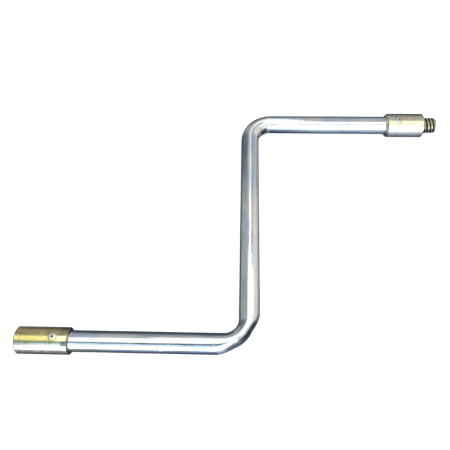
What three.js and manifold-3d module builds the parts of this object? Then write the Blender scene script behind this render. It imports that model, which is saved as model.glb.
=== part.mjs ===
// A Z-shaped turning handle for rods that screw together: one bent round steel tube, a brass ferrule with
// a threaded socket on the end of one arm, a brass ferrule with a threaded stud on the end of the other,
// and a steel rivet through each ferrule and the tube inside it. Millimetres. It lies flat: both arms run
// along X, the web between them runs along +Y, and +Z is up. The origin is under the middle of the handle.
import * as THREE from "three";
import { mergeVertices } from "three/addons/utils/BufferGeometryUtils.js";
import Module from "manifold-3d";

// Tube
const TUBE_RADIUS = 10.65;
const TUBE_BORE_RADIUS = 8.65;
const BEND_RADIUS = 25.5;
const WEB_LENGTH = 280;
const SOCKET_ARM_LENGTH = 229;
const STUD_ARM_LENGTH = 228;

// How far the outer wall of each bend has fallen in, and how much the tube has spread sideways there
const SOCKET_BEND_FLATTENING = 5.2;
const STUD_BEND_FLATTENING = 0.3;
const SPREAD_PER_FLATTENING = 0.17;

// Socket ferrule, measured from its mouth
const SOCKET_FERRULE_RADIUS = 13.4;
const SOCKET_FERRULE_LENGTH = 53;
const SOCKET_MOUTH_RADIUS = 10.4;
const SOCKET_RIM_CHAMFER = 0.9;
const SOCKET_TUBE_END_CHAMFER = 1.1;
const SOCKET_THREAD_END = 21.6;
const SOCKET_RELIEF_RADIUS = 10;

// Stud ferrule, measured from its tube end
const STUD_FERRULE_RADIUS = 14.25;
const STUD_FERRULE_LENGTH = 47.5;
const STUD_TUBE_END_RADIUS = 11.8;
const STUD_TUBE_END_BEVEL = 3;
const STUD_SHOULDER_RADIUS = 9.9;
const STUD_SHOULDER_BEVEL = 2.8;
const STUD_LENGTH = 14;
const STUD_NECK_LENGTH = 1.1;
const STUD_TIP_CHAMFER = 1.6;
const STUD_TIP_SLOPE = 1.1;

// Coarse rounded right-hand thread that the stud and the socket share. It has two starts, so a turn takes it
// two pitches along.
const THREAD_PITCH = 3.8;
const THREAD_STARTS = 2;
const THREAD_ROOT_RADIUS = 7.8;
const THREAD_DEPTH = 1.7;
const THREAD_CLEARANCE = 0.3;

// Fits
const FERRULE_OVERLAP = 30;
const TUBE_FIT_GAP = 0.25;
const TUBE_END_GAP = 0.3;
const RIVET_GAP = 0.25;
const RIVET_HEAD_GAP = 0.15;

// Rivets, measured along their own axis from the middle of the tube. A rivet's inset is how far along the
// ferrule it is from the ferrule's tube end. Its tilt, in degrees, turns its upper head towards -Y.
const RIVET_SHANK_RADIUS = 2.6;
const RIVET_HEAD_RADIUS = 3.8;
const RIVET_HEAD_RISE = 0.8;
const RIVET_HEAD_EDGE = 0.4;
const RIVET_HEAD_CORNER = { reach: 0.8 * RIVET_HEAD_RADIUS, rise: 0.66 };
const RIVET_HEAD_SKIRT = 1.5;
const RIVET_DIMPLE_RADIUS = 1.25;
const RIVET_DIMPLE_DEPTH = 1;
const SOCKET_RIVET_INSET = 14.9;
const STUD_RIVET_INSET = 15;
const SOCKET_RIVET_TILT = 0;
const STUD_RIVET_TILT = 13;

// Colour and roughness of each metal
const ZINC = { color: 0xc3c8d0, roughness: 0.3 };
const BRASS = { color: 0xc9a95a, roughness: 0.3 };
const STEEL = { color: 0xb9bbbd, roughness: 0.35 };

// Fineness of the curved faces
const FERRULE_SEGMENTS = 36;
const TUBE_SEGMENTS = 32;
const RIVET_SEGMENTS = 24;
const ROWS_PER_PITCH = 6;
const BEND_STEPS = 10;

// Where things are. The handle rests on the corner of the tilted rivet's lower head.
const TILT = THREE.MathUtils.degToRad(STUD_RIVET_TILT);
const AXIS_HEIGHT =
  (STUD_FERRULE_RADIUS + RIVET_HEAD_CORNER.rise) * Math.cos(TILT) + RIVET_HEAD_CORNER.reach * Math.sin(TILT);
const MOUTH_X = -(SOCKET_ARM_LENGTH + STUD_ARM_LENGTH) / 2;
const WEB_X = MOUTH_X + SOCKET_ARM_LENGTH;
const STUD_FERRULE_X = WEB_X + STUD_ARM_LENGTH - STUD_LENGTH - STUD_FERRULE_LENGTH;
const SOCKET_ARM_Y = (SOCKET_FERRULE_RADIUS - STUD_FERRULE_RADIUS - WEB_LENGTH) / 2;
const STUD_ARM_Y = SOCKET_ARM_Y + WEB_LENGTH;
const SOCKET_RIVET_X = MOUTH_X + SOCKET_FERRULE_LENGTH - SOCKET_RIVET_INSET;
const STUD_RIVET_X = STUD_FERRULE_X + STUD_RIVET_INSET;

const wasm = await Module();
wasm.setup();

// A closed three.js geometry as a manifold-3d solid.
function solidOf(geometry) {
  const bare = new THREE.BufferGeometry();
  bare.setAttribute("position", geometry.getAttribute("position"));
  bare.setIndex(geometry.getIndex());
  const merged = mergeVertices(bare, 1e-4);
  return new wasm.Manifold(
    new wasm.Mesh({
      numProp: 3,
      vertProperties: merged.getAttribute("position").array,
      triVerts: new Uint32Array(merged.index.array),
    }),
  );
}

// A manifold-3d solid as a three.js geometry.
function geometryOf(solid) {
  const mesh = solid.getMesh();
  const geometry = new THREE.BufferGeometry();
  geometry.setAttribute("position", new THREE.BufferAttribute(mesh.vertProperties, 3));
  geometry.setIndex(new THREE.BufferAttribute(mesh.triVerts, 1));
  geometry.computeVertexNormals();
  return geometry;
}

function meshOf(name, geometry, metal) {
  const mesh = new THREE.Mesh(geometry, new THREE.MeshStandardMaterial({ ...metal, metalness: 1 }));
  mesh.name = name;
  return mesh;
}

// What drills a rivet's hole right through a ferrule and the tube, or through the tube alone.
function drill(x, y, tilt) {
  const radius = RIVET_SHANK_RADIUS + RIVET_GAP;
  const bit = new THREE.CylinderGeometry(radius, radius, 4 * AXIS_HEIGHT, RIVET_SEGMENTS);
  return solidOf(bit.rotateX(THREE.MathUtils.degToRad(90 + tilt)).translate(x, y, AXIS_HEIGHT));
}

// The height of the thread's ridge above its root, at a distance along the axis and an angle about it. A
// stud's distance is from its shoulder and a socket's from its mouth, so that the two mesh when they meet.
function threadRise(along, angle) {
  const phase = (2 * Math.PI * along) / THREAD_PITCH - THREAD_STARTS * angle;
  return THREAD_DEPTH * (0.5 + 0.5 * Math.cos(phase));
}

// Evenly spaced profile points for a threaded stretch. Each carries its limit on the radius.
function threadRows(from, to, limitAt) {
  const count = Math.ceil((Math.abs(to - from) / THREAD_PITCH) * ROWS_PER_PITCH);
  return Array.from({ length: count + 1 }, (_, n) => {
    const along = from + ((to - from) * n) / count;
    return { along, limit: limitAt(along) };
  });
}

// Turns a profile about the X axis. Each row is [radius, along], or a thread row, which radiusOf gives a
// radius at each angle.
function turned(profile, radiusOf) {
  const points = profile.map((row) => new THREE.Vector2(...(Array.isArray(row) ? row : [1, row.along])));
  const geometry = new THREE.LatheGeometry(points, FERRULE_SEGMENTS);
  const position = geometry.getAttribute("position");
  for (let n = 0; n < position.count; n += 1) {
    const row = profile[n % profile.length];
    if (!Array.isArray(row)) {
      const angle = Math.atan2(position.getX(n), position.getZ(n));
      const radius = radiusOf(row, angle);
      position.setXYZ(n, radius * Math.sin(angle), row.along, radius * Math.cos(angle));
    }
  }
  return geometry.rotateZ(-Math.PI / 2);
}

// 0 to 1, with level ends.
function eased(t) {
  const held = Math.min(1, Math.max(0, t));
  return held * held * (3 - 2 * held);
}

// How much of a bend's flattening there is at an angle round it. It fades out on the straights.
function flatteningAt(angle) {
  const degrees = THREE.MathUtils.radToDeg(angle);
  return eased((degrees + 15) / 40) * eased((102 - degrees) / 38);
}

// The handle's middle line: straight arm, bend, web, bend, straight arm. It has a stop wherever the tube
// changes.
class MiddleLine extends THREE.Curve {
  constructor(stops) {
    super();
    this.stops = stops;
  }

  stopAt(u) {
    return this.stops[Math.round(u * (this.stops.length - 1))];
  }

  getPointAt(u) {
    return this.stopAt(u).point.clone();
  }

  getTangentAt(u) {
    return this.stopAt(u).direction.clone();
  }
}

function stop(x, y, angle) {
  return {
    point: new THREE.Vector3(x, y, 0),
    direction: new THREE.Vector3(Math.cos(angle), Math.sin(angle), 0),
  };
}

// Stops along the first bend, which turns from +X to +Y, and a little way onto the straights beside it.
function bendStops() {
  const centre = new THREE.Vector2(WEB_X - BEND_RADIUS, SOCKET_ARM_Y + BEND_RADIUS);
  const stops = [-7, -3.5].map((s) => stop(centre.x + s, SOCKET_ARM_Y, 0));
  for (let n = 0; n <= BEND_STEPS; n += 1) {
    const angle = ((Math.PI / 2) * n) / BEND_STEPS;
    const x = centre.x + BEND_RADIUS * Math.sin(angle);
    stops.push(stop(x, centre.y - BEND_RADIUS * Math.cos(angle), angle));
  }
  stops.push(...[3, 6].map((s) => stop(WEB_X, centre.y + s, Math.PI / 2)));
  return stops;
}

// The second bend's stops are the first one's after half a turn, in the opposite order.
function halfTurnedStops(stops) {
  return stops.toReversed().map(({ point, direction }) => {
    const opposite = point.clone();
    halfTurn(opposite);
    return { point: opposite, direction };
  });
}

// Where a point is in the first bend: its angle round it, the way outwards there, and how far out it is
// from the middle line. The bend's two straights carry on from its ends.
function placeInBend(x, y) {
  const dx = x - (WEB_X - BEND_RADIUS);
  const dy = y - (SOCKET_ARM_Y + BEND_RADIUS);
  if (dx < 0) {
    return { angle: dx / BEND_RADIUS, outward: [0, -1], offset: -dy - BEND_RADIUS };
  }
  if (dy > 0) {
    return { angle: Math.PI / 2 + dy / BEND_RADIUS, outward: [1, 0], offset: dx - BEND_RADIUS };
  }
  const reach = Math.hypot(dx, dy);
  return { angle: Math.atan2(dx, -dy), outward: [dx / reach, dy / reach], offset: reach - BEND_RADIUS };
}

// Moves a vertex of the round tube to where the flattened first bend has it.
function flatten(vertex, flattening) {
  const { angle, outward, offset } = placeInBend(vertex.x, vertex.y);
  const depth = flattening * flatteningAt(angle);
  const inward = (depth * Math.max(0, offset)) / Math.hypot(offset, vertex.z);
  vertex.x -= outward[0] * inward;
  vertex.y -= outward[1] * inward;
  vertex.z *= 1 + (SPREAD_PER_FLATTENING * depth) / TUBE_RADIUS;
}

// Half a turn about the middle of the web, which puts each bend where the other one is.
function halfTurn(vertex) {
  vertex.set(2 * WEB_X - vertex.x, SOCKET_ARM_Y + STUD_ARM_Y - vertex.y, vertex.z);
}

function crankTube() {
  const bend = bendStops();
  const stops = [
    stop(MOUTH_X + SOCKET_FERRULE_LENGTH - FERRULE_OVERLAP, SOCKET_ARM_Y, 0),
    ...bend,
    ...halfTurnedStops(bend),
    stop(STUD_FERRULE_X + FERRULE_OVERLAP, STUD_ARM_Y, 0),
  ];
  const ring = new THREE.Shape().absarc(0, 0, TUBE_RADIUS, 0, 2 * Math.PI);
  ring.holes.push(new THREE.Path().absarc(0, 0, TUBE_BORE_RADIUS, 0, 2 * Math.PI, true));
  const geometry = new THREE.ExtrudeGeometry(ring, {
    steps: stops.length - 1,
    curveSegments: TUBE_SEGMENTS / 2,
    extrudePath: new MiddleLine(stops),
  });
  const position = geometry.getAttribute("position");
  const vertex = new THREE.Vector3();
  for (let n = 0; n < position.count; n += 1) {
    vertex.fromBufferAttribute(position, n);
    flatten(vertex, SOCKET_BEND_FLATTENING);
    halfTurn(vertex);
    flatten(vertex, STUD_BEND_FLATTENING);
    halfTurn(vertex);
    position.setXYZ(n, vertex.x, vertex.y, vertex.z);
  }
  const tube = solidOf(geometry.translate(0, 0, AXIS_HEIGHT))
    .subtract(drill(SOCKET_RIVET_X, SOCKET_ARM_Y, SOCKET_RIVET_TILT))
    .subtract(drill(STUD_RIVET_X, STUD_ARM_Y, STUD_RIVET_TILT));
  return meshOf("crank_tube", geometryOf(tube), ZINC);
}

function socketFerrule() {
  const boreRadius = TUBE_RADIUS + TUBE_FIT_GAP;
  const boreStart = SOCKET_FERRULE_LENGTH - FERRULE_OVERLAP - TUBE_END_GAP;
  const rim = SOCKET_FERRULE_RADIUS;
  const profile = [
    [rim - SOCKET_RIM_CHAMFER, 0],
    [rim, SOCKET_RIM_CHAMFER],
    [rim, SOCKET_FERRULE_LENGTH - SOCKET_TUBE_END_CHAMFER],
    [rim - SOCKET_TUBE_END_CHAMFER, SOCKET_FERRULE_LENGTH],
    [boreRadius, SOCKET_FERRULE_LENGTH],
    [boreRadius, boreStart],
    [SOCKET_RELIEF_RADIUS, boreStart],
    [SOCKET_RELIEF_RADIUS, SOCKET_THREAD_END],
    ...threadRows(SOCKET_THREAD_END - 0.4, 0.4, (along) => SOCKET_MOUTH_RADIUS - along),
    [SOCKET_MOUTH_RADIUS, 0],
    [rim - SOCKET_RIM_CHAMFER, 0],
  ];
  const geometry = turned(profile, ({ along, limit }, angle) =>
    Math.max(limit, THREAD_ROOT_RADIUS + THREAD_CLEARANCE + threadRise(along, angle)),
  ).translate(MOUTH_X, SOCKET_ARM_Y, AXIS_HEIGHT);
  const ferrule = solidOf(geometry).subtract(drill(SOCKET_RIVET_X, SOCKET_ARM_Y, SOCKET_RIVET_TILT));
  return meshOf("socket_ferrule", geometryOf(ferrule), BRASS);
}

function studFerrule() {
  const boreRadius = TUBE_RADIUS + TUBE_FIT_GAP;
  const boreEnd = FERRULE_OVERLAP + TUBE_END_GAP;
  const tip = STUD_FERRULE_LENGTH + STUD_LENGTH;
  const crest = THREAD_ROOT_RADIUS + THREAD_DEPTH;
  const threadStart = STUD_FERRULE_LENGTH + STUD_NECK_LENGTH;
  const profile = [
    [0, boreEnd],
    [boreRadius, boreEnd],
    [boreRadius, 0],
    [STUD_TUBE_END_RADIUS, 0],
    [STUD_FERRULE_RADIUS, STUD_TUBE_END_BEVEL],
    [STUD_FERRULE_RADIUS, STUD_FERRULE_LENGTH - STUD_SHOULDER_BEVEL],
    [STUD_SHOULDER_RADIUS, STUD_FERRULE_LENGTH],
    [THREAD_ROOT_RADIUS, STUD_FERRULE_LENGTH],
    [THREAD_ROOT_RADIUS, threadStart],
    ...threadRows(threadStart + 0.4, tip - 0.4, (along) =>
      Math.min(
        THREAD_ROOT_RADIUS + (along - threadStart) * 1.5,
        crest + (tip - STUD_TIP_CHAMFER - along) * STUD_TIP_SLOPE,
      ),
    ),
    [crest - STUD_TIP_CHAMFER * STUD_TIP_SLOPE - 0.4, tip],
    [0, tip],
  ];
  const geometry = turned(profile, ({ along, limit }, angle) =>
    Math.min(limit, THREAD_ROOT_RADIUS + threadRise(along - STUD_FERRULE_LENGTH, angle)),
  ).translate(STUD_FERRULE_X, STUD_ARM_Y, AXIS_HEIGHT);
  const ferrule = solidOf(geometry).subtract(drill(STUD_RIVET_X, STUD_ARM_Y, STUD_RIVET_TILT));
  return meshOf("stud_ferrule", geometryOf(ferrule), BRASS);
}

// A cylinder about the Z axis, from as far below z = 0 as it reaches above it.
function shankTo(reach) {
  const radius = RIVET_SHANK_RADIUS;
  const shank = new THREE.CylinderGeometry(radius, radius, 2 * reach, RIVET_SEGMENTS);
  return solidOf(shank.rotateX(Math.PI / 2));
}

// A rivet with a low domed head on each side, dimpled in the middle. The heads sit on the ferrule's round.
function rivet(name, ferruleRadius, x, y, tilt) {
  const top = ferruleRadius + RIVET_HEAD_RISE;
  const edge = ferruleRadius + RIVET_HEAD_EDGE;
  const skirt = ferruleRadius - RIVET_HEAD_SKIRT;
  const profile = [
    [0, skirt],
    [RIVET_HEAD_RADIUS, skirt],
    [RIVET_HEAD_RADIUS, edge],
    [RIVET_HEAD_CORNER.reach, ferruleRadius + RIVET_HEAD_CORNER.rise],
    [0.5 * RIVET_HEAD_RADIUS, edge + 0.95 * (top - edge)],
    [RIVET_DIMPLE_RADIUS, top],
    [0, top - RIVET_DIMPLE_DEPTH],
  ];
  const points = profile.map((p) => new THREE.Vector2(...p));
  const head = new THREE.LatheGeometry(points, RIVET_SEGMENTS).rotateX(Math.PI / 2);
  const seatRadius = ferruleRadius + RIVET_HEAD_GAP;
  const seat = new THREE.CylinderGeometry(seatRadius, seatRadius, 4 * RIVET_HEAD_RADIUS, FERRULE_SEGMENTS);
  const whole = solidOf(head)
    .add(solidOf(head.clone().rotateX(Math.PI)))
    .add(shankTo(skirt + RIVET_HEAD_GAP))
    .subtract(solidOf(seat.rotateZ(Math.PI / 2)).subtract(shankTo(top)))
    .rotate([tilt, 0, 0])
    .translate([x, y, AXIS_HEIGHT]);
  return meshOf(name, geometryOf(whole), STEEL);
}

const handle = new THREE.Group();
handle.name = "rod_turning_handle";
handle.add(
  crankTube(),
  socketFerrule(),
  studFerrule(),
  rivet("socket_ferrule_rivet", SOCKET_FERRULE_RADIUS, SOCKET_RIVET_X, SOCKET_ARM_Y, SOCKET_RIVET_TILT),
  rivet("stud_ferrule_rivet", STUD_FERRULE_RADIUS, STUD_RIVET_X, STUD_ARM_Y, STUD_RIVET_TILT),
);

export default handle;
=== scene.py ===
import math

import bmesh
import bpy
from mathutils import Matrix, Vector, noise


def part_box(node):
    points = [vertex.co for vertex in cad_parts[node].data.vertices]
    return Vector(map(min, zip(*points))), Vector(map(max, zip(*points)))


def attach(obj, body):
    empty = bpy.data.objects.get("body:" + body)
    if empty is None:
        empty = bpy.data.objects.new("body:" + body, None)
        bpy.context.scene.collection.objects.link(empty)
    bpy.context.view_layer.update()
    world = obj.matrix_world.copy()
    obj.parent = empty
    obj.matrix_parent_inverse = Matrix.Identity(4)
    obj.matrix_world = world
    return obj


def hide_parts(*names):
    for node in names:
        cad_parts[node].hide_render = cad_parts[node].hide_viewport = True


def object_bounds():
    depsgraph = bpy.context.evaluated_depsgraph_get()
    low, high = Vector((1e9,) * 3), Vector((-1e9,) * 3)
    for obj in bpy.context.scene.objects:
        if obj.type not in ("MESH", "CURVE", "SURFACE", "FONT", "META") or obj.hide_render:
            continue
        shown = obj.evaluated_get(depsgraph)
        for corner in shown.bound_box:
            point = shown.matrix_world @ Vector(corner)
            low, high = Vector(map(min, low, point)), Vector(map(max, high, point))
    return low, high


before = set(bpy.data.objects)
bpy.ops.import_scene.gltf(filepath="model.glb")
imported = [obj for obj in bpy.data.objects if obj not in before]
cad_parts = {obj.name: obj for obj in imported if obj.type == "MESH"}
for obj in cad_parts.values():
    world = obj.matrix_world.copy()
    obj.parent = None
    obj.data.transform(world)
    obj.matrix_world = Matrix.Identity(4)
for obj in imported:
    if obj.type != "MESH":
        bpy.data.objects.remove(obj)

# A turning handle for rods that screw together. It lies flat: both arms run along X, the web between them
# along Y. Lengths are in metres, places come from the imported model's boxes, and each piece stands for one
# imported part, in more detail.

cad_bounds = [list(corner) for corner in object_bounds()]
scene = bpy.context.scene
MM = 0.001


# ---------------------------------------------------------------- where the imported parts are

def middle(name):
    low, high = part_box(name)
    return (low + high) / 2


tube_low, tube_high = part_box("crank_tube")
socket_low, socket_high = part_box("socket_ferrule")
stud_low, stud_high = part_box("stud_ferrule")

AXIS_Z = middle("socket_ferrule").z
SOCKET_ARM_Y = middle("socket_ferrule").y
STUD_ARM_Y = middle("stud_ferrule").y
TUBE_RADIUS = 10.65 * MM
TUBE_BORE_RADIUS = 8.65 * MM
BEND_RADIUS = 25.5 * MM
SOCKET_ARM_LENGTH = 229 * MM
WEB_X = socket_low.x + SOCKET_ARM_LENGTH
SOCKET_BEND_FLATTENING = 5.2 * MM
STUD_BEND_FLATTENING = 0.3 * MM
SPREAD_PER_FLATTENING = 0.17
# degrees round a bend where its flattening is none and where it is full, at its start and at its end
FLATTENING_START = (-15, 25)
FLATTENING_END = (102, 64)
FOLD_DEPTH = 0.5 * MM
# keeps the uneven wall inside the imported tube's box
WALL_UNDERSIZE = 0.06 * MM

SOCKET_RADIUS = (socket_high.z - socket_low.z) / 2
SOCKET_LENGTH = socket_high.x - socket_low.x
STUD_RADIUS = (stud_high.z - stud_low.z) / 2
STUD_WHOLE_LENGTH = stud_high.x - stud_low.x
STUD_LENGTH = 14 * MM
STUD_FERRULE_LENGTH = STUD_WHOLE_LENGTH - STUD_LENGTH
FERRULE_BORE_RADIUS = 10.9 * MM
FERRULE_OVERLAP = 30.3 * MM
SOCKET_MOUTH_RADIUS = 10.4 * MM
SOCKET_RIM_CHAMFER = 0.9 * MM
SOCKET_TUBE_END_CHAMFER = 1.1 * MM
SOCKET_THREAD_END = 21.6 * MM
SOCKET_RELIEF_RADIUS = 10 * MM
STUD_TUBE_END_RADIUS = 11.8 * MM
STUD_TUBE_END_BEVEL = 3 * MM
STUD_SHOULDER_RADIUS = 9.9 * MM
STUD_SHOULDER_BEVEL = 2.8 * MM
STUD_NECK_LENGTH = 1.1 * MM
STUD_TIP_CHAMFER = 1.6 * MM
STUD_TIP_SLOPE = 1.1

THREAD_PITCH = 3.8 * MM
THREAD_STARTS = 2
THREAD_ROOT_RADIUS = 7.8 * MM
THREAD_DEPTH = 1.7 * MM
THREAD_CLEARANCE = 0.3 * MM

RIVET_HEAD_RADIUS = 3.8 * MM
RIVET_SHANK_RADIUS = 2.6 * MM
RIVET_HEAD_RISE = 0.8 * MM
RIVET_HEAD_EDGE = 0.4 * MM
RIVET_DIMPLE_RADIUS = 1.25 * MM
RIVET_DIMPLE_DEPTH = 1.0 * MM
RIVET_SEAT_GAP = 0.15 * MM
STUD_RIVET_TILT = math.radians(13)

TUBE_COLUMNS, FERRULE_COLUMNS, RIVET_COLUMNS = 96, 144, 72
STRAIGHT_STEP, BEND_STEP = 4 * MM, math.radians(2.5)
PROFILE_STEP = 1.6 * MM


# ---------------------------------------------------------------- meshes

def make_piece(name, points, faces, attributes, node):
    """A smooth closed mesh object with per-vertex attributes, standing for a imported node."""
    mesh = bpy.data.meshes.new(name)
    mesh.from_pydata([tuple(p) for p in points], [], faces)
    shape = bmesh.new()
    shape.from_mesh(mesh)
    bmesh.ops.recalc_face_normals(shape, faces=shape.faces)
    shape.to_mesh(mesh)
    shape.free()
    for key, values in attributes.items():
        if isinstance(values[0], float):
            mesh.attributes.new(key, "FLOAT", "POINT").data.foreach_set("value", values)
        else:
            flat = [c for value in values for c in value]
            mesh.attributes.new(key, "FLOAT_VECTOR", "POINT").data.foreach_set("vector", flat)
    mesh.polygons.foreach_set("use_smooth", [True] * len(mesh.polygons))
    piece = bpy.data.objects.new(name, mesh)
    scene.collection.objects.link(piece)
    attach(piece, "root")
    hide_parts(node)
    return piece


def grid_faces(rows, columns, close_rows):
    """Quads over a grid whose columns go round, and whose rows close on themselves where asked."""
    faces = []
    for row in range(rows if close_rows else rows - 1):
        after = (row + 1) % rows
        for column in range(columns):
            beside = (column + 1) % columns
            faces.append((row * columns + column, row * columns + beside,
                          after * columns + beside, after * columns + column))
    return faces


def smoothstep(low, high, value):
    """0 at low and 1 at high, with level ends. Low may be above high."""
    t = min(1.0, max(0.0, (value - low) / (high - low)))
    return t * t * (3 - 2 * t)


def filleted(corners, closed):
    """Profile points from corners (along, radius, fillet), each corner rounded by its fillet."""
    points = []
    count = len(corners)
    for n, (along, radius, fillet) in enumerate(corners):
        here = Vector((along, radius))
        if fillet == 0 or (not closed and n in (0, count - 1)):
            points.append(here)
            continue
        back = Vector(corners[n - 1][:2]) - here
        ahead = Vector(corners[(n + 1) % count][:2]) - here
        half = back.angle(ahead) / 2
        reach = min(fillet / math.tan(half), 0.45 * back.length, 0.45 * ahead.length)
        start = here + back.normalized() * reach
        end = here + ahead.normalized() * reach
        for step in range(5):
            t = step / 4
            points.append(start * (1 - t) ** 2 + here * 2 * t * (1 - t) + end * t * t)
    return points


def with_steps(points, longest, closed):
    """The same profile with no step longer than asked."""
    result = []
    count = len(points)
    for n in range(count if closed else count - 1):
        here, there = points[n], points[(n + 1) % count]
        steps = max(1, math.ceil((there - here).length / longest))
        result += [here.lerp(there, k / steps) for k in range(steps)]
    if not closed:
        result.append(points[-1])
    return result


# ---------------------------------------------------------------- the bent tube

def flattening_at(angle):
    """How much of a bend's flattening there is at an angle round it. It fades out on the straights."""
    degrees = math.degrees(angle)
    return smoothstep(*FLATTENING_START, degrees) * smoothstep(*FLATTENING_END, degrees)


def place_in_bend(x, y):
    """Angle round the first bend, the way outwards there, and how far out from the middle line."""
    dx = x - (WEB_X - BEND_RADIUS)
    dy = y - (SOCKET_ARM_Y + BEND_RADIUS)
    if dx < 0:
        return dx / BEND_RADIUS, (0.0, -1.0), -dy - BEND_RADIUS
    if dy > 0:
        return math.pi / 2 + dy / BEND_RADIUS, (1.0, 0.0), dx - BEND_RADIUS
    reach = math.hypot(dx, dy)
    return math.atan2(dx, -dy), (dx / reach, dy / reach), reach - BEND_RADIUS


def flatten(point, flattening):
    """Moves a point of the round tube to where the flattened first bend has it."""
    angle, outward, offset = place_in_bend(point.x, point.y)
    depth = flattening * flattening_at(angle)
    inward = depth * max(0.0, offset) / math.hypot(offset, point.z)
    point.x -= outward[0] * inward
    point.y -= outward[1] * inward
    point.z *= 1 + SPREAD_PER_FLATTENING * depth / TUBE_RADIUS
    return angle, offset


def half_turn(point):
    """Half a turn about the middle of the web, which puts each bend where the other one is."""
    point.x = 2 * WEB_X - point.x
    point.y = SOCKET_ARM_Y + STUD_ARM_Y - point.y


def middle_line():
    """Stops along the handle's middle line: (x, y, heading, distance so far)."""
    stops = []
    first = WEB_X - BEND_RADIUS - tube_low.x
    web = STUD_ARM_Y - SOCKET_ARM_Y - 2 * BEND_RADIUS
    last = tube_high.x - (WEB_X + BEND_RADIUS)
    quarter = BEND_RADIUS * math.pi / 2

    def run(x, y, heading, length, done):
        count = math.ceil(length / STRAIGHT_STEP)
        for n in range(count):
            s = length * n / count
            stops.append((x + s * math.cos(heading), y + s * math.sin(heading), heading, done + s))

    def bend(x, y, turn, start, done):
        count = round(math.pi / 2 / BEND_STEP)
        for n in range(count):
            angle = start + turn * n / count * math.pi / 2
            stops.append((x + BEND_RADIUS * turn * math.sin(angle),
                          y - BEND_RADIUS * turn * math.cos(angle), angle, done + quarter * n / count))

    run(tube_low.x, SOCKET_ARM_Y, 0.0, first, 0.0)
    bend(WEB_X - BEND_RADIUS, SOCKET_ARM_Y + BEND_RADIUS, 1, 0.0, first)
    run(WEB_X, SOCKET_ARM_Y + BEND_RADIUS, math.pi / 2, web, first + quarter)
    bend(WEB_X + BEND_RADIUS, STUD_ARM_Y - BEND_RADIUS, -1, math.pi / 2, first + quarter + web)
    run(WEB_X + BEND_RADIUS, STUD_ARM_Y, 0.0, last, first + 2 * quarter + web)
    stops.append((tube_high.x, STUD_ARM_Y, 0.0, first + 2 * quarter + web + last))
    return stops


def unevenness(along, across, up, bend):
    """How far the drawn and bent wall stands from a true round, in metres."""
    long_wave = noise.noise(Vector((along * 22, across * 45, up * 45)))
    ripple = noise.noise(Vector((along * 48 + 5, across * 85, up * 85)))
    short_wave = noise.noise(Vector((along * 75 + 9, across * 110, up * 110)))
    return (0.055 * long_wave + 0.05 * ripple + (0.012 + 0.04 * bend) * short_wave) * MM


def tube_point(stop, radius, angle):
    """A point of the tube's wall: ring angle 0 is on the left of the heading, a quarter turn is up."""
    x, y, heading, along = stop
    across = radius * math.cos(angle)
    up = radius * math.sin(angle)
    point = Vector((x - across * math.sin(heading), y + across * math.cos(heading), up))
    first_angle, first_offset = flatten(point, SOCKET_BEND_FLATTENING)
    half_turn(point)
    second_angle, second_offset = flatten(point, STUD_BEND_FLATTENING)
    half_turn(point)
    first_mask, second_mask = flattening_at(first_angle), flattening_at(second_angle)
    bend = max(first_mask, second_mask)
    side = (first_mask * first_offset + second_mask * second_offset) / TUBE_RADIUS
    out = unevenness(along, across, up, bend) - WALL_UNDERSIZE
    # a shallow fold where the second bend's inner wall meets the stud's arm
    degrees = math.degrees(second_angle)
    fold = math.exp(-((degrees - 12) / 13) ** 2) * smoothstep(0.1, 0.95, -second_offset / TUBE_RADIUS)
    out -= FOLD_DEPTH * fold
    point += Vector((-math.sin(heading) * math.cos(angle), math.cos(heading) * math.cos(angle),
                     math.sin(angle))) * out
    point.z += AXIS_Z
    return point, (along, across, up), bend, side


def crank_tube():
    stops = middle_line()
    points, drawn, bends, sides = [], [], [], []
    rows = [(stop, TUBE_RADIUS) for stop in stops] + [(stop, TUBE_BORE_RADIUS) for stop in reversed(stops)]
    for stop, radius in rows:
        for column in range(TUBE_COLUMNS):
            angle = 2 * math.pi * column / TUBE_COLUMNS
            point, place, bend, side = tube_point(stop, radius, angle)
            points.append(point)
            drawn.append(place)
            bends.append(bend)
            sides.append(side)
    faces = grid_faces(len(rows), TUBE_COLUMNS, True)
    return make_piece("bent_tube", points, faces, {"drawn": drawn, "bend": bends, "side": sides},
                      "crank_tube")


# ---------------------------------------------------------------- the turned ferrules

def thread_rise(along, angle):
    """The height of the thread's ridge above its root."""
    phase = 2 * math.pi * along / THREAD_PITCH - THREAD_STARTS * angle
    return THREAD_DEPTH * (0.5 + 0.5 * math.cos(phase))


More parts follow.
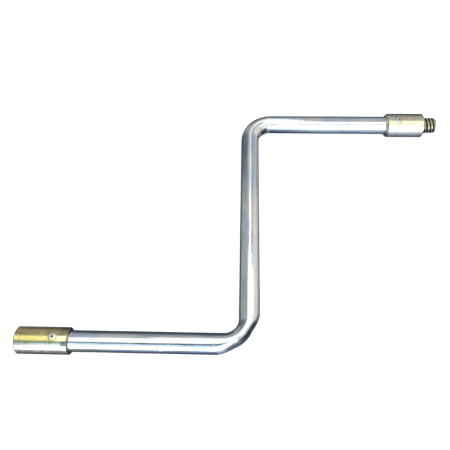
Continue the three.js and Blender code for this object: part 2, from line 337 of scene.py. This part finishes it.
def turned_piece(name, rows, closed, start_x, axis_y, rivet_x, rivet_tilt, node):
    """A lathe shape about the arm's axis. A row is (along, radius, thread), thread a function or None."""
    columns = FERRULE_COLUMNS
    points, place, crest, near = [], [], [], []
    for along, radius, thread in rows:
        for column in range(columns):
            angle = 2 * math.pi * column / columns
            r = thread(along, angle) if thread else radius
            # angle 0 is up, a quarter turn is towards -Y
            y, z = -r * math.sin(angle), r * math.cos(angle)
            points.append(Vector((start_x + along, axis_y + y, AXIS_Z + z)))
            place.append((along, y, z))
            crest.append((r - THREAD_ROOT_RADIUS) / THREAD_DEPTH if thread else 1.0)
            beside = y * math.cos(rivet_tilt) + z * math.sin(rivet_tilt)
            # the bore counts as far from the rivet, so that no ring of painted shade shows in it
            inside = r < FERRULE_BORE_RADIUS + 0.3 * MM
            near.append(math.hypot(start_x + along - rivet_x, beside) + (1.0 if inside else 0.0))
    faces = grid_faces(len(rows), columns, closed)
    if not closed:
        for row, ring in ((0, 0), (len(rows) - 1, (len(rows) - 1) * columns)):
            points.append(Vector((start_x + rows[row][0], axis_y, AXIS_Z)))
            place.append((rows[row][0], 0.0, 0.0))
            crest.append(1.0)
            near.append(1.0)
            pole = len(points) - 1
            faces += [(ring + c, ring + (c + 1) % columns, pole) for c in range(columns)]
    attributes = {"turned": place, "crest": crest, "from_rivet": near}
    return make_piece(name, points, faces, attributes, node)


def thread_rows(start, end, thread, per_pitch):
    count = math.ceil(abs(end - start) / THREAD_PITCH * per_pitch)
    return [(start + (end - start) * n / count, 0.0, thread) for n in range(count + 1)]


def plain_rows(corners, closed=False):
    return [(p.x, p.y, None) for p in with_steps(filleted(corners, closed), PROFILE_STEP, closed)]


def socket_ferrule():
    bore_start = SOCKET_LENGTH - FERRULE_OVERLAP
    runout = 0.4 * MM

    def thread(along, angle):
        ridge = THREAD_ROOT_RADIUS + THREAD_CLEARANCE + thread_rise(along, angle)
        return max(SOCKET_MOUTH_RADIUS - along, ridge)

    corners = [
        (0.0, SOCKET_MOUTH_RADIUS, 0.0),
        (0.0, SOCKET_RADIUS - SOCKET_RIM_CHAMFER, 0.35 * MM),
        (SOCKET_RIM_CHAMFER, SOCKET_RADIUS, 0.5 * MM),
        (SOCKET_LENGTH - SOCKET_TUBE_END_CHAMFER, SOCKET_RADIUS, 0.6 * MM),
        (SOCKET_LENGTH, SOCKET_RADIUS - SOCKET_TUBE_END_CHAMFER, 0.3 * MM),
        (SOCKET_LENGTH, FERRULE_BORE_RADIUS, 0.1 * MM),
        (bore_start, FERRULE_BORE_RADIUS, 0.3 * MM),
        (bore_start, SOCKET_RELIEF_RADIUS, 0.2 * MM),
        (SOCKET_THREAD_END, SOCKET_RELIEF_RADIUS, 0.1 * MM),
    ]
    rows = plain_rows(corners) + thread_rows(SOCKET_THREAD_END - runout, runout, thread, per_pitch=14)
    return turned_piece("socket_end_ferrule", rows, True, socket_low.x, SOCKET_ARM_Y,
                        middle("socket_ferrule_rivet").x, 0.0, "socket_ferrule")


def stud_ferrule():
    neck_end = STUD_FERRULE_LENGTH + STUD_NECK_LENGTH
    crest = THREAD_ROOT_RADIUS + THREAD_DEPTH
    tip_radius = crest - 1.5 * STUD_TIP_CHAMFER * STUD_TIP_SLOPE + 0.2 * MM

    def thread(along, angle):
        limit = min(THREAD_ROOT_RADIUS + (along - neck_end) * 1.5,
                    crest + (STUD_WHOLE_LENGTH - STUD_TIP_CHAMFER - along) * STUD_TIP_SLOPE)
        return min(limit, THREAD_ROOT_RADIUS + thread_rise(along - STUD_FERRULE_LENGTH, angle))

    body = [
        (FERRULE_OVERLAP, 2 * MM, 0.0),
        (FERRULE_OVERLAP, FERRULE_BORE_RADIUS, 0.2 * MM),
        (0.0, FERRULE_BORE_RADIUS, 0.1 * MM),
        (0.0, STUD_TUBE_END_RADIUS, 0.15 * MM),
        (STUD_TUBE_END_BEVEL, STUD_RADIUS, 0.9 * MM),
        (STUD_FERRULE_LENGTH - STUD_SHOULDER_BEVEL, STUD_RADIUS, 0.9 * MM),
        (STUD_FERRULE_LENGTH, STUD_SHOULDER_RADIUS, 0.4 * MM),
        (STUD_FERRULE_LENGTH, THREAD_ROOT_RADIUS, 0.25 * MM),
        (neck_end, THREAD_ROOT_RADIUS, 0.0),
    ]
    tip = [
        (STUD_WHOLE_LENGTH - 0.12 * MM, tip_radius + 0.42 * MM, 0.0),
        (STUD_WHOLE_LENGTH, tip_radius, 0.0),
        (STUD_WHOLE_LENGTH, 2 * MM, 0.0),
    ]
    rows = plain_rows(body)
    rows += thread_rows(neck_end + 0.15 * MM, STUD_WHOLE_LENGTH - 0.4 * MM, thread, per_pitch=18)
    rows += plain_rows(tip)
    return turned_piece("stud_end_ferrule", rows, False, stud_low.x, STUD_ARM_Y,
                        middle("stud_ferrule_rivet").x, STUD_RIVET_TILT, "stud_ferrule")


# ---------------------------------------------------------------- the rivets

def rivet(name, node, ferrule_radius, tilt):
    """Two domed heads, each peened to a dimple and bedded on the ferrule's round, on one shank."""
    centre = middle(node)
    centre.z = AXIS_Z
    lean = Matrix.Rotation(tilt, 3, "X")
    head, shank, dimple = RIVET_HEAD_RADIUS, RIVET_SHANK_RADIUS, RIVET_DIMPLE_RADIUS
    top, edge = ferrule_radius + RIVET_HEAD_RISE, ferrule_radius + RIVET_HEAD_EDGE
    # (distance from the rivet's axis, height above the tube's axis or None for the ferrule's round)
    half = [(dimple * t, top - RIVET_DIMPLE_DEPTH * (1 - t) ** 0.8 - 0.03 * MM * t)
            for t in (0.08, 0.3, 0.55, 0.8)]
    half += [(dimple * 1.08, top - 0.01 * MM), (dimple * 1.3, top)]
    for t in (0.5, 0.62, 0.74, 0.84, 0.92, 0.97, 1.0):
        drop = (top - edge) * (0.55 * t ** 2 + 0.45 * t ** 6)
        half.append((head * t, top - drop))
    half += [(head, edge - 0.15 * MM), (head, None), (shank * 1.25, None), (shank, None)]
    columns = RIVET_COLUMNS
    points, reach_at = [], []

    def add(reach, height, sign):
        for column in range(columns):
            angle = 2 * math.pi * column / columns
            x, y = reach * math.cos(angle), reach * math.sin(angle)
            z = height
            if height is None:
                z = math.sqrt((ferrule_radius + RIVET_SEAT_GAP) ** 2 - y * y)
            elif 0.7 * dimple < reach < head * 0.99:
                # the head is hammered unevenly
                z -= 0.035 * MM * (0.5 + 0.5 * noise.noise(Vector((x * 900, y * 900, sign * 3.0))))
            points.append(centre + lean @ Vector((x, y, sign * z)))
            reach_at.append(reach)

    for reach, height in half:
        add(reach, height, 1)
    for reach, height in reversed(half):
        add(reach, height, -1)
    rows = 2 * len(half)
    faces = grid_faces(rows, columns, False)
    for sign, ring in ((1, 0), (-1, (rows - 1) * columns)):
        points.append(centre + lean @ Vector((0.0, 0.0, sign * (top - RIVET_DIMPLE_DEPTH))))
        reach_at.append(0.0)
        pole = len(points) - 1
        faces += [(ring + c, ring + (c + 1) % columns, pole) for c in range(columns)]
    return make_piece(name, points, faces, {"reach": reach_at}, node)


# ---------------------------------------------------------------- materials

class Nodes:
    """Short names for the nodes of one shader."""

    def __init__(self, owner):
        owner.use_nodes = True
        self.tree = owner.node_tree

    def node(self, kind, inputs, **settings):
        made = self.tree.nodes.new("ShaderNode" + kind)
        for key, value in settings.items():
            setattr(made, key, value)
        for key, value in inputs.items():
            socket = made.inputs[key]
            if isinstance(value, bpy.types.NodeSocket):
                self.tree.links.new(value, socket)
            else:
                socket.default_value = value
        return made

    def math(self, operation, first, second=0.0):
        return self.node("Math", {0: first, 1: second}, operation=operation).outputs[0]

    def times(self, first, second):
        return self.math("MULTIPLY", first, second)

    def plus(self, first, second):
        return self.math("ADD", first, second)

    def between(self, value, low, high, to_low=0.0, to_high=1.0):
        """Eases from to_low to to_high as the value goes from low to high."""
        return self.node("MapRange", {0: value, 1: low, 2: high, 3: to_low, 4: to_high},
                         interpolation_type="SMOOTHSTEP").outputs[0]

    def mixed(self, share, first, second):
        def colour(value):
            return value if isinstance(value, bpy.types.NodeSocket) else (*value, 1.0)
        return self.node("Mix", {0: share, 6: colour(first), 7: colour(second)},
                         data_type="RGBA").outputs[2]

    def faded(self, value, low, high, first, second):
        """Eases from the first colour to the second as the value goes from low to high."""
        return self.mixed(self.between(value, low, high), first, second)


class Look(Nodes):
    """A metal with a Principled shader."""

    def __init__(self, name):
        self.material = bpy.data.materials.new(name)
        super().__init__(self.material)
        self.metal = self.tree.nodes["Principled BSDF"]
        self.metal.inputs["Metallic"].default_value = 1.0

    def attribute(self, name, vector=False):
        made = self.node("Attribute", {}, attribute_name=name)
        return made.outputs["Vector" if vector else "Fac"]

    def stretched(self, vector, scale):
        return self.node("Mapping", {"Vector": vector, "Scale": scale}).outputs[0]

    def noise(self, vector, scale, detail=2.0, roughness=0.5, distortion=0.0):
        return self.node("TexNoise", {"Vector": vector, "Scale": scale, "Detail": detail,
                                      "Roughness": roughness, "Distortion": distortion}).outputs[0]

    def bumped(self, height, depth, normal=None):
        inputs = {"Strength": 1.0, "Distance": depth, "Height": height}
        if normal is not None:
            inputs["Normal"] = normal
        return self.node("Bump", inputs).outputs[0]

    def finish(self, colour, roughness, normal):
        self.tree.links.new(colour, self.metal.inputs["Base Color"])
        self.tree.links.new(roughness, self.metal.inputs["Roughness"])
        self.tree.links.new(normal, self.metal.inputs["Normal"])
        return self.material


def scratches(look, vector, scale, width, patches):
    """Thin wandering lines, in patches: 1 on a line, 0 beside it."""
    wander = look.noise(vector, scale, 1.0, 0.5, 0.6)
    offset = look.math("ABSOLUTE", look.math("SUBTRACT", wander, 0.5))
    return look.times(look.between(offset, width, 0.0), patches)


ZINC_BLUE, ZINC_YELLOW = (0.66, 0.72, 0.82), (0.80, 0.80, 0.76)
ZINC_DRAWN, ZINC_DULL, ZINC_SCRATCH = (0.46, 0.50, 0.52), (0.50, 0.53, 0.55), (0.90, 0.90, 0.90)
# the first brass colour is the near-black of painted shade, for the thread's roots and round the rivets'
# heads
BRASS_SHADE, BRASS_SCRATCH = (0.035, 0.025, 0.015), (0.95, 0.88, 0.70)
STAIN_PALE, STAIN_GREEN = (0.86, 0.80, 0.62), (0.36, 0.37, 0.20)
STAIN_SMUDGE, STAIN_END = (0.14, 0.17, 0.20), (0.22, 0.21, 0.14)
STEEL_BRIGHT, STEEL_DULL = (0.70, 0.70, 0.66), (0.46, 0.46, 0.44)
# near-black painted shade for the rivets' dimples, and a darker painted shade for the rims of their heads
STEEL_HOLLOW_SHADE, STEEL_RIM_SHADE = (0.02, 0.02, 0.025), (0.16, 0.14, 0.12)


def zinc_plate():
    look = Look("zinc_plated_steel")
    drawn = look.attribute("drawn", True)
    bend = look.attribute("bend")
    side = look.attribute("side")
    lines = look.noise(look.stretched(drawn, (0.035, 1.0, 1.0)), 1500, 3.0, 0.6)
    wide_lines = look.noise(look.stretched(drawn, (0.08, 1.0, 1.0)), 420, 2.0)
    tint = look.noise(look.stretched(drawn, (0.35, 1.0, 1.0)), 70, 2.0)
    cloud = look.noise(drawn, 260, 4.0, 0.6)
    nicks = scratches(look, look.stretched(drawn, (0.25, 1.0, 1.0)), 160, 0.006,
                      look.between(look.noise(drawn, 90), 0.5, 0.62))

    # blue and yellow passivation, with drawing lines and dull clouds
    colour = look.faded(tint, 0.38, 0.62, ZINC_BLUE, ZINC_YELLOW)
    colour = look.mixed(look.between(wide_lines, 0.52, 0.66, 0.0, 0.6), colour, ZINC_DRAWN)
    colour = look.mixed(look.between(cloud, 0.56, 0.74, 0.0, 0.45), colour, ZINC_DULL)
    colour = look.mixed(look.times(nicks, 0.5), colour, ZINC_SCRATCH)

    roughness = look.between(lines, 0.3, 0.7, 0.11, 0.17)
    roughness = look.plus(roughness, look.between(cloud, 0.5, 0.75, 0.0, 0.09))
    roughness = look.plus(roughness, look.times(bend, 0.05))
    roughness = look.plus(roughness, look.times(nicks, 0.12))

    # wrinkles across the tube on the inside of each bend, and a slight unevenness all over
    across = look.noise(look.stretched(drawn, (1.0, 0.18, 0.18)), 420, 2.0)
    inner = look.times(bend, look.between(side, -0.1, -0.8))
    waves = look.noise(look.stretched(drawn, (0.45, 1.0, 1.0)), 85, 3.0, 0.55)
    normal = look.bumped(look.times(across, inner), 0.18 * MM)
    normal = look.bumped(waves, 0.14 * MM, normal)
    normal = look.bumped(lines, 0.008 * MM, normal)
    normal = look.bumped(nicks, -0.03 * MM, normal)
    return look.finish(colour, roughness, normal)


def grip_stains(look, colour, from_grip, side, fine):
    """The stains of the socket ferrule near the end that grips the tube."""
    worn = look.times(look.between(from_grip, 13 * MM, 7 * MM), look.between(side, 2.2 * MM, 0.2 * MM))
    worn = look.times(worn, look.between(fine, 0.35, 0.55, 0.35, 0.9))
    colour = look.mixed(worn, colour, STAIN_PALE)
    green = look.times(look.between(from_grip, 8.2 * MM, 6.6 * MM), look.between(side, 0.5 * MM, 2.5 * MM))
    colour = look.mixed(look.times(green, 0.6), colour, STAIN_GREEN)
    smudge = look.times(look.between(from_grip, 7.0 * MM, 6.0 * MM),
                        look.between(side, -4.8 * MM, -5.8 * MM))
    smudge = look.times(smudge, look.between(side, -9.6 * MM, -8.6 * MM))
    colour = look.mixed(look.times(smudge, 0.75), colour, STAIN_SMUDGE)
    return look.mixed(look.between(from_grip, 1.7 * MM, 0.9 * MM, 0.0, 0.8), colour, STAIN_END)


def brass(name, back, top, tarnished, painted_highlight, highlight_border, highlight_end, stained):
    """Turned brass.

    Its colours are the tarnish's and three painted ones that go by the side and stand in for reflections: a
    painted reflection colour for the side towards +Y, another for the top, and a pale painted highlight for
    the side towards -Y. The highlight's border is the given distance from the axis along Y, and the
    highlight stops at the given place along the axis.
    """
    look = Look(name)
    turned = look.attribute("turned", True)
    crest = look.attribute("crest")
    from_rivet = look.attribute("from_rivet")
    rings = look.noise(look.stretched(turned, (1.0, 0.03, 0.03)), 1700, 3.0, 0.6)
    bands = look.noise(look.stretched(turned, (1.0, 0.12, 0.12)), 260, 2.0)
    streaks = look.noise(look.stretched(turned, (0.12, 1.0, 1.0)), 420, 3.0, 0.6)
    cloud = look.noise(turned, 190, 4.0, 0.62)
    fine = look.noise(turned, 900, 3.0, 0.6)
    nicks = scratches(look, turned, 210, 0.007, look.between(look.noise(turned, 120), 0.5, 0.6))

    # the borders between the sides' colours wander
    along, side, _ = look.node("SeparateXYZ", {0: turned}).outputs
    side = look.plus(side, look.between(look.noise(turned, 130), 0.3, 0.7, -1.2 * MM, 1.2 * MM))
    # the mask of the pale painted highlight on the side towards -Y
    highlight_mask = look.times(look.between(side, highlight_border + 1.4 * MM, highlight_border - 1.4 * MM),
                     look.between(along, highlight_end, highlight_end - 0.4 * MM))
    # painted reflection colours: one for the side towards +Y, another for the top
    colour = look.faded(side, 3.5 * MM, 0.0, back, top)
    colour = look.mixed(look.between(streaks, 0.46, 0.70, 0.0, 0.55), colour, tarnished)
    colour = look.mixed(look.between(cloud, 0.42, 0.72, 0.0, 0.55), colour, tarnished)
    colour = look.mixed(highlight_mask, colour, painted_highlight)
    colour = look.mixed(look.between(bands, 0.45, 0.8, 0.0, 0.45), colour, tarnished)
    if stained:
        colour = grip_stains(look, colour, look.math("SUBTRACT", SOCKET_LENGTH, along), side, fine)

    # painted shade darkens the thread's roots, and a clouded ring round the rivet's head
    painted_shade = look.times(look.between(crest, 1.0, 0.55), look.between(fine, 0.2, 0.6, 0.7, 1.0))
    ring = look.times(look.between(from_rivet, RIVET_HEAD_RADIUS - 0.05 * MM, 4.3 * MM),
                      look.between(from_rivet, 5.9 * MM, 4.3 * MM))
    ring = look.times(ring, look.between(cloud, 0.35, 0.6, 0.1, 0.45))
    painted_shade = look.math("MAXIMUM", painted_shade, ring)
    colour = look.mixed(look.times(painted_shade, 0.96), colour, BRASS_SHADE)
    colour = look.mixed(look.times(nicks, 0.5), colour, BRASS_SCRATCH)

    roughness = look.between(rings, 0.3, 0.7, 0.14, 0.22)
    roughness = look.plus(roughness, look.between(cloud, 0.45, 0.75, 0.0, 0.14))
    roughness = look.plus(roughness, look.times(painted_shade, 0.3))

    normal = look.bumped(rings, 0.018 * MM)
    normal = look.bumped(look.noise(turned, 300, 2.0), 0.03 * MM, normal)
    normal = look.bumped(nicks, -0.03 * MM, normal)
    return look.finish(colour, roughness, normal)


def rivet_steel():
    look = Look("rivet_steel")
    place = look.node("TexCoord", {}).outputs["Object"]
    reach = look.attribute("reach")
    hammered = look.noise(place, 750, 2.0)
    cloud = look.noise(place, 1500, 3.0)
    # the dimple is painted near-black as painted shade, and the head's rim a little darker as painted shade
    # where it meets the ferrule
    hollow_shade = look.between(reach, 1.4 * MM, 1.1 * MM)
    rim_shade = look.between(reach, 3.5 * MM, 3.9 * MM)
    colour = look.faded(cloud, 0.4, 0.7, STEEL_BRIGHT, STEEL_DULL)
    colour = look.mixed(hollow_shade, colour, STEEL_HOLLOW_SHADE)
    colour = look.mixed(look.times(rim_shade, 0.2), colour, STEEL_RIM_SHADE)
    roughness = look.plus(look.between(cloud, 0.35, 0.7, 0.26, 0.42), look.times(hollow_shade, 0.3))
    return look.finish(colour, roughness, look.bumped(hammered, 0.05 * MM))


# ---------------------------------------------------------------- the handle

tube = crank_tube()
socket = socket_ferrule()
stud = stud_ferrule()
socket_rivet = rivet("socket_end_rivet", "socket_ferrule_rivet", SOCKET_RADIUS, 0.0)
stud_rivet = rivet("stud_end_rivet", "stud_ferrule_rivet", STUD_RADIUS, STUD_RIVET_TILT)

tube.data.materials.append(zinc_plate())
# each ferrule's side colours below are painted reflection colours, and the pale colour towards -Y is a
# painted highlight
socket.data.materials.append(brass(
    "socket_brass", back=(0.88, 0.66, 0.34), top=(0.68, 0.60, 0.22), tarnished=(0.50, 0.39, 0.18),
    painted_highlight=(0.80, 0.77, 0.69), highlight_border=-5.7 * MM, highlight_end=SOCKET_LENGTH + MM, stained=True))
stud.data.materials.append(brass(
    "stud_brass", back=(0.84, 0.74, 0.56), top=(0.92, 0.84, 0.60), tarnished=(0.58, 0.50, 0.38),
    painted_highlight=(0.84, 0.80, 0.72), highlight_border=-9.2 * MM, highlight_end=STUD_FERRULE_LENGTH, stained=False))
steel = rivet_steel()
socket_rivet.data.materials.append(steel)
stud_rivet.data.materials.append(steel)


# ---------------------------------------------------------------- floor, light and camera

def floor():
    mesh = bpy.data.meshes.new("floor")
    half = 6.0
    corners = [(-half, -half, 0), (half, -half, 0), (half, half, 0), (-half, half, 0)]
    mesh.from_pydata(corners, [], [(0, 1, 2, 3)])
    ground = bpy.data.objects.new("floor", mesh)
    scene.collection.objects.link(ground)
    material = bpy.data.materials.new("pale_floor")
    material.use_nodes = True
    paper = material.node_tree.nodes["Principled BSDF"]
    paper.inputs["Base Color"].default_value = (0.5, 0.5, 0.5, 1)
    paper.inputs["Roughness"].default_value = 1.0
    paper.inputs["Emission Color"].default_value = (1, 1, 1, 1)
    paper.inputs["Emission Strength"].default_value = 0.75
    mesh.materials.append(material)
    # a reflection of the white floor would wipe out the tube's dark edges
    ground.visible_glossy = False


def softbox(name, centre, facing, width, depth, colour, brightness):
    """A rectangular light, width along X, that no camera sees. Brightness is its radiance."""
    light = bpy.data.lights.new(name, "AREA")
    light.shape = "RECTANGLE"
    light.size = width
    light.size_y = depth
    light.color = colour
    light.energy = brightness * math.pi * width * depth
    box = bpy.data.objects.new(name, light)
    scene.collection.objects.link(box)
    back = -Vector(facing).normalized()
    right = (Vector((1, 0, 0)) - back * back.x).normalized()
    up = back.cross(right)
    box.matrix_world = Matrix.Translation(centre) @ Matrix((right, up, back)).transposed().to_4x4()
    box.visible_camera = False


def panel_between(name, x_range, near_edge, far_edge, colour, brightness):
    """A softbox whose two long edges lie at the given (y, z), facing the handle."""
    a, b = Vector((0, *near_edge)), Vector((0, *far_edge))
    across = b - a
    centre = (a + b) / 2
    normal = Vector((0, across.z, -across.y))
    if normal.dot(Vector((0, 0, AXIS_Z)) - centre) < 0:
        normal = -normal
    centre.x = (x_range[0] + x_range[1]) / 2
    softbox(name, centre, normal, x_range[1] - x_range[0], across.length, colour, brightness)


def surroundings():
    """A dim room that only the metal mirrors. Its colour goes by the direction (x, y, z) looked in."""
    world = bpy.data.worlds.new("studio")
    room = Nodes(world)
    scene.world = world
    x, y, z = room.node("SeparateXYZ", {0: room.node("TexCoord", {}).outputs["Generated"]}).outputs

    # above the level, towards +Y: a grey wall behind, grey-green to the left and beige to the right
    behind = room.faded(z, 0.0, 0.75, (0.13, 0.16, 0.20), (0.55, 0.57, 0.61))
    behind_right = room.faded(z, 0.0, 0.80, (0.10, 0.10, 0.13), (0.42, 0.42, 0.47))
    behind = room.faded(x, 0.22, 0.36, behind, behind_right)
    left = room.faded(y, 0.36, 0.48, (0.42, 0.47, 0.43), (0.50, 0.54, 0.55))
    left = room.faded(y, 0.50, 0.62, left, (0.15, 0.18, 0.20))
    left = room.faded(y, 0.70, 0.80, left, (0.42, 0.45, 0.47))
    right = room.faded(y, 0.45, 0.63, (0.98, 0.93, 0.80), (0.50, 0.53, 0.52))
    above = room.faded(x, -0.25, -0.50, behind, left)
    above = room.faded(x, 0.36, 0.58, above, right)

    # above the level, towards -Y: slate blue, with a bright corner far to the right
    ahead = room.faded(x, -0.10, -0.40, (0.10, 0.16, 0.22), (0.30, 0.40, 0.46))
    ahead = room.faded(x, 0.30, 0.55, ahead, (0.20, 0.27, 0.36))
    far_right = room.faded(y, -0.26, -0.12, (0.42, 0.47, 0.52), (0.85, 0.85, 0.83))
    ahead = room.faded(x, 0.70, 0.90, ahead, far_right)
    corner = room.faded(z, 0.05, 0.28, (0.36, 0.36, 0.41), (1.3, 1.3, 1.28))
    in_corner = room.times(room.between(x, 0.55, 0.68), room.between(y, -0.30, -0.42))
    ahead = room.mixed(in_corner, ahead, corner)
    above = room.faded(y, 0.10, -0.10, above, ahead)

    # below the level, towards +Y
    under_left = room.faded(z, -0.28, -0.58, (0.40, 0.44, 0.42), (0.06, 0.075, 0.08))
    under_left = room.faded(y, 0.50, 0.62, under_left, (0.10, 0.12, 0.13))
    under_left = room.faded(y, 0.68, 0.80, under_left, (0.26, 0.28, 0.29))
    under_right = room.faded(z, 0.0, -0.90, (0.68, 0.67, 0.63), (0.10, 0.10, 0.11))
    under_behind = room.faded(x, -0.25, -0.50, (0.05, 0.07, 0.09), under_left)
    under_behind = room.faded(x, 0.30, 0.55, under_behind, under_right)

    # below the level, towards -Y: grey at the socket's end, blue, pale blue, then grey at the stud's end
    blue = room.faded(z, -0.15, -0.50, (0.46, 0.58, 0.90), (0.28, 0.35, 0.54))
    blue = room.faded(z, -0.45, -0.92, blue, (0.05, 0.06, 0.09))
    grey = room.faded(z, -0.15, -0.50, (0.52, 0.53, 0.55), (0.31, 0.32, 0.33))
    grey = room.faded(z, -0.45, -0.92, grey, (0.07, 0.07, 0.075))
    pale_blue = room.faded(z, -0.25, -0.60, (0.85, 1.05, 1.15), (0.56, 0.70, 0.85))
    pale_blue = room.faded(z, -0.55, -0.98, pale_blue, (0.15, 0.18, 0.28))
    stud_grey = room.faded(z, -0.28, -0.90, (0.56, 0.57, 0.58), (0.065, 0.07, 0.072))
    dark_corner = room.faded(z, 0.0, -0.25, (0.36, 0.36, 0.41), (0.04, 0.04, 0.05))
    below = room.faded(x, -0.235, -0.275, blue, grey)
    below = room.faded(x, 0.06, 0.15, below, pale_blue)
    below = room.faded(x, 0.31, 0.36, below, stud_grey)
    below = room.faded(x, 0.55, 0.68, below, dark_corner)
    below = room.faded(y, -0.15, 0.10, below, under_behind)

    mirrored = room.faded(z, 0.03, -0.08, above, below)
    seen = room.node("LightPath", {}).outputs["Is Camera Ray"]
    backdrop = room.tree.nodes["Background"]
    room.tree.links.new(room.mixed(seen, mirrored, (1.0, 1.0, 1.0)), backdrop.inputs["Color"])


CREAM, COOL = (1.0, 0.97, 0.82), (0.74, 0.87, 1.0)
# name, extent along X, near edge and far edge as (y, z), colour, brightness
PANELS = [
    ("overhead_softbox", (-0.17, 0.42), (0.16, 0.422), (-0.51, 0.98), CREAM, 1.4),
    ("overhead_softbox_left", (-0.62, -0.17), (0.043, 0.519), (-0.53, 0.997), CREAM, 1.4),
    ("overhead_softbox_right", (0.42, 0.78), (0.05, 0.513), (-0.51, 0.98), CREAM, 1.4),
    ("overhead_strip_near", (-0.03, 0.11), (0.28, 0.40), (0.16, 0.42), CREAM, 1.4),
    ("overhead_strip_far", (0.0, 0.10), (0.55, 0.42), (0.28, 0.40), COOL, 0.8),
    ("front_softbox", (0.13, 1.45), (-1.99, 2.38), (-2.2, -0.27), COOL, 4.5),
    ("front_softbox_left", (-1.3, 0.13), (-2.12, 0.98), (-2.2, -0.27), COOL, 4.5),
    ("front_strip_left", (-1.3, 0.13), (-1.99, 2.38), (-2.12, 0.98), COOL, 1.0),
]

floor()
surroundings()
for panel in PANELS:
    panel_between(*panel)

# the camera, as fitted to the photograph's outlines
LENS = 40
AZIMUTH = math.radians(3.774)
ELEVATION = math.radians(60.111)
ROLL = math.radians(2.573)
DISTANCE = 0.5564
handle_low, handle_high = (Vector(corner) for corner in cad_bounds)
AIM = Vector((WEB_X - 27.49 * MM, -6.15 * MM, 0))
target = (handle_low + handle_high) / 2 + AIM
back = Vector((math.sin(AZIMUTH) * math.cos(ELEVATION), -math.cos(AZIMUTH) * math.cos(ELEVATION),
               math.sin(ELEVATION)))
camera = bpy.data.objects.new("camera", bpy.data.cameras.new("camera"))
camera.data.lens = LENS
camera.data.clip_start = 0.01
scene.collection.objects.link(camera)
turn = (-back).to_track_quat("-Z", "Y").to_matrix() @ Matrix.Rotation(-ROLL, 3, "Z")
camera.matrix_world = Matrix.Translation(target + back * DISTANCE) @ turn.to_4x4()
scene.camera = camera
scene.view_settings.view_transform = "Standard"
